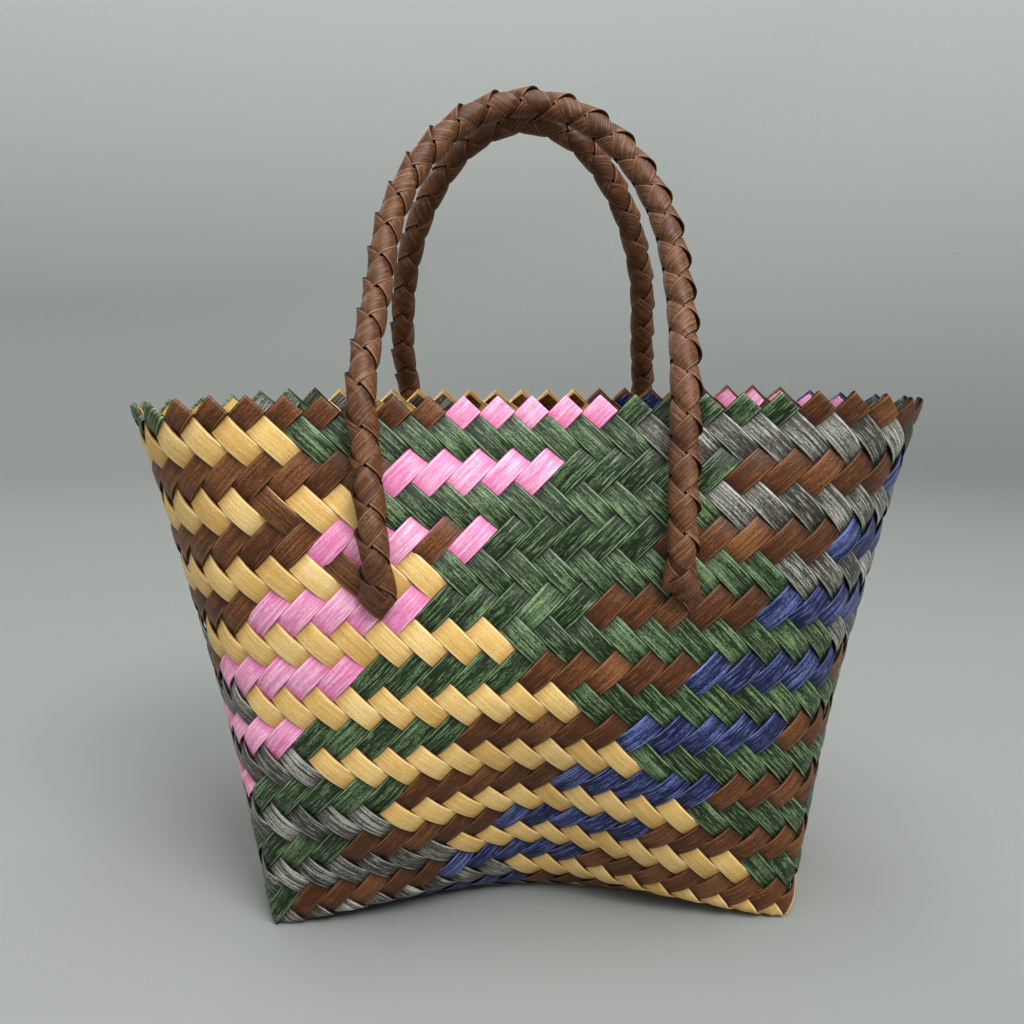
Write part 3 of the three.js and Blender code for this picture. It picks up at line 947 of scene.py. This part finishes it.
def braid_core(name, path, length):
    """The filling that shows through the gaps of the braid, darkened all over by painted shade."""
    bpy.ops.mesh.primitive_grid_add(
        x_subdivisions=CORE_LOOPS_ROUND, y_subdivisions=CORE_LOOPS_ALONG, size=1.0)
    core = bpy.context.object
    core.name = name
    flat = flat_points(core.data)
    start = BRAID_STOPS_SHORT_LEFT
    stop = length - BRAID_STOPS_SHORT_RIGHT
    place = start + (flat[:, 1] + 0.5) * (stop - start)
    turn = flat[:, 0] * 2.0 * math.pi
    tip = smoothstep(0.0, CORE_TIP_SHARE, np.minimum(flat[:, 1] + 0.5, 0.5 - flat[:, 1]))
    points = braid_place(path, length, place, turn, CORE_RADIUS * tip)
    core.data.vertices.foreach_set("co", (points * MM).ravel())
    chart_across = flat[:, 0] * FIELD_ACROSS + CORE_CHART_START
    # No bow anywhere: the whole core takes the painted shade of the braid's crossings.
    chart_strip(core.data, chart_across, place / CELL, np.zeros(len(flat)))
    close_seams(core, CORE_SEAM * MM)
    turn_normals(core, inside=False)
    bpy.ops.object.shade_smooth()
    return core


def foot_wraps(name, number):
    """The last turns of the braid: flat strips over the feet that tuck into the weave."""
    side = facing_of(name)
    left_foot, right_foot = HANDLES[name][1], HANDLES[name][3]
    places = ((left_foot, LEFT_WRAP), (right_foot, RIGHT_TONGUE), (right_foot, RIGHT_WRAP))
    return [lay_wrap(side, foot, FOOT_ROW, wrap, number + k) for k, (foot, wrap) in enumerate(places)]


def build_handle(name):
    path, length = handle_path(name)
    number = BRAID_NUMBERS_FROM[name]
    strands = []
    for k, (way, phase) in enumerate(BRAID_STRANDS):
        strands.append(braid_strand(path, length, facing_of(name), way, phase, number + k))
    strands += foot_wraps(name, number + len(BRAID_STRANDS))
    braid = thicken(strands, name + "_braid", BRAID_THICKNESS)
    return braid, braid_core(name + "_core", path, length)


# The dressed bag.

def strip_colours(order):
    """The colour of each strip, one after the other."""
    return [colour for colour, count in order for _ in range(count)]


def weave_body(finishes):
    """All strips of the body, joined by colour."""
    ribbons = {name: [] for name in STRIP_COLOURS if name != "braid"}
    for number, colour in enumerate(strip_colours(RIGHTWARD_ORDER)):
        ribbons[colour].append(lay_strip(True, OUTERMOST_STRIP - number, number))
    for number, colour in enumerate(strip_colours(LEFTWARD_ORDER)):
        strip = lay_strip(False, number - OUTERMOST_STRIP, number + LEFTWARD_NUMBERS_FROM)
        ribbons[colour].append(strip)
    for colour, pieces in ribbons.items():
        woven = thicken(pieces, colour + "_strips", STRIP_THICKNESS)
        woven.data.materials.append(finishes[colour])
        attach(woven, "root")
        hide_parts("woven_body")


def plait_tails(finishes):
    tails = thicken([lay_tail(*tail) for tail in HANDLE_TAILS], "handle_tails", STRIP_THICKNESS)
    tails.data.materials.append(finishes["brown"])
    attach(tails, "root")


def braid_handles(finishes):
    for name in HANDLES:
        for piece in build_handle(name):
            piece.data.materials.append(finishes["braid"])
            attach(piece, "root")
            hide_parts(name)


# Stage, in metres.

# The floor's grey turns paler up the sweep: painted light, the backdrop brighter higher up, as if lit from
# above.
FLOOR_GREY = (0.25, 0.261, 0.252)
SWEEP_PAINTED_LIGHT_GREY = (0.82, 0.84, 0.82)
FLOOR_ROUGHNESS = 0.95
FLOOR_SHEEN = 0.1
FLOOR_LOOPS_ROUND = 72
FLOOR_LOOPS_OUT = 40
FLOOR_SEAM = 0.0001
FLOOR_REACH = 1.4
SWEEP_RADIUS = 1.2
SWEEP_LENGTH = SWEEP_RADIUS * math.pi / 2
SWEEP_WALL = 0.8
SKY_LOW = (0.30, 0.315, 0.305)
SKY_HIGH = (0.62, 0.65, 0.63)
SKY_BRIGHTENS_UNTIL = 0.7
SKY_STRENGTH = 0.45
LIGHTS = {
    # name: place, aim, width, height, watts
    "key_light": ((0.72, -1.22, 1.52), (0, 0, 0.12), 0.9, 0.7, 31.0),
    "top_light": ((0.1, -0.35, 1.7), (0, 0, 0.1), 1.2, 1.2, 22.0),
    "sheen_light": ((0.15, -1.3, 1.12), (0, 0, 0.15), 1.4, 0.4, 5.0),
    "fill_light": ((-1.55, -0.7, 0.85), (0, 0, 0.12), 0.9, 1.0, 4.5),
    "back_light": ((-0.8, 1.3, 1.25), (0, 0, 0.12), 1.2, 0.8, 12.0),
}


def height_blend(tree, coordinates, until, low, high):
    """A colour that changes with height, from low at the floor to high."""
    nodes, links = tree.nodes, tree.links
    where = nodes.new("ShaderNodeTexCoord")
    split = nodes.new("ShaderNodeSeparateXYZ")
    links.new(where.outputs[coordinates], split.inputs[0])
    climb = nodes.new("ShaderNodeMapRange")
    climb.inputs["From Max"].default_value = until
    links.new(split.outputs["Z"], climb.inputs["Value"])
    mix = nodes.new("ShaderNodeMix")
    mix.data_type = "RGBA"
    mix.inputs["A"].default_value = (*low, 1.0)
    mix.inputs["B"].default_value = (*high, 1.0)
    links.new(climb.outputs[0], mix.inputs["Factor"])
    return mix.outputs["Result"]


def studio_world():
    """Soft surroundings that brighten upwards and meet the floor without a line."""
    world = bpy.data.worlds.new("studio")
    bpy.context.scene.world = world
    world.use_nodes = True
    tree = world.node_tree
    colour = height_blend(tree, "Generated", SKY_BRIGHTENS_UNTIL, SKY_LOW, SKY_HIGH)
    tree.links.new(colour, tree.nodes["Background"].inputs["Color"])
    tree.nodes["Background"].inputs["Strength"].default_value = SKY_STRENGTH


def floor_paint():
    material = bpy.data.materials.new("floor_paint")
    material.use_nodes = True
    tree = material.node_tree
    shader = tree.nodes["Principled BSDF"]
    # Painted light: paler with height up the sweep.
    colour = height_blend(tree, "Object", SWEEP_RADIUS, FLOOR_GREY, SWEEP_PAINTED_LIGHT_GREY)
    tree.links.new(colour, shader.inputs["Base Color"])
    shader.inputs["Roughness"].default_value = FLOOR_ROUGHNESS
    shader.inputs["Specular IOR Level"].default_value = FLOOR_SHEEN
    return material


def build_floor():
    """A pale floor that sweeps up all round, far behind the bag, painted paler up the sweep as painted light
    from above.
    """
    bpy.ops.mesh.primitive_grid_add(
        x_subdivisions=FLOOR_LOOPS_ROUND, y_subdivisions=FLOOR_LOOPS_OUT, size=1.0)
    floor = bpy.context.object
    floor.name = "floor"
    flat = flat_points(floor.data)
    turn = flat[:, 0] * 2.0 * math.pi
    out = (flat[:, 1] + 0.5) * (FLOOR_REACH + SWEEP_LENGTH + SWEEP_WALL)
    bend = np.clip((out - FLOOR_REACH) / SWEEP_RADIUS, 0.0, math.pi / 2)
    reach = np.minimum(out, FLOOR_REACH) + SWEEP_RADIUS * np.sin(bend)
    rise = SWEEP_RADIUS * (1.0 - np.cos(bend)) + np.maximum(0.0, out - FLOOR_REACH - SWEEP_LENGTH)
    points = np.stack([reach * np.cos(turn), reach * np.sin(turn), rise], axis=1)
    floor.data.vertices.foreach_set("co", points.ravel())
    floor.data.update()
    close_seams(floor, FLOOR_SEAM)
    turn_normals(floor, inside=True)
    bpy.ops.object.shade_smooth()
    floor.data.materials.append(floor_paint())


def place_lights():
    for name, (place, aim, wide, high, watts) in LIGHTS.items():
        data = bpy.data.lights.new(name, "AREA")
        data.shape = "RECTANGLE"
        data.size = wide
        data.size_y = high
        data.energy = watts
        light = bpy.data.objects.new(name, data)
        bpy.context.scene.collection.objects.link(light)
        light.location = place
        light.rotation_euler = (Vector(aim) - Vector(place)).to_track_quat("-Z", "Y").to_euler()


def main():
    make_camera()
    bpy.context.scene.view_settings.view_transform = "Standard"
    bpy.ops.object.select_all(action="DESELECT")
    streaks = streak_group()
    finishes = {name: strip_material(name, streaks) for name in STRIP_COLOURS}
    weave_body(finishes)
    plait_tails(finishes)
    braid_handles(finishes)
    build_floor()
    studio_world()
    place_lights()


main()
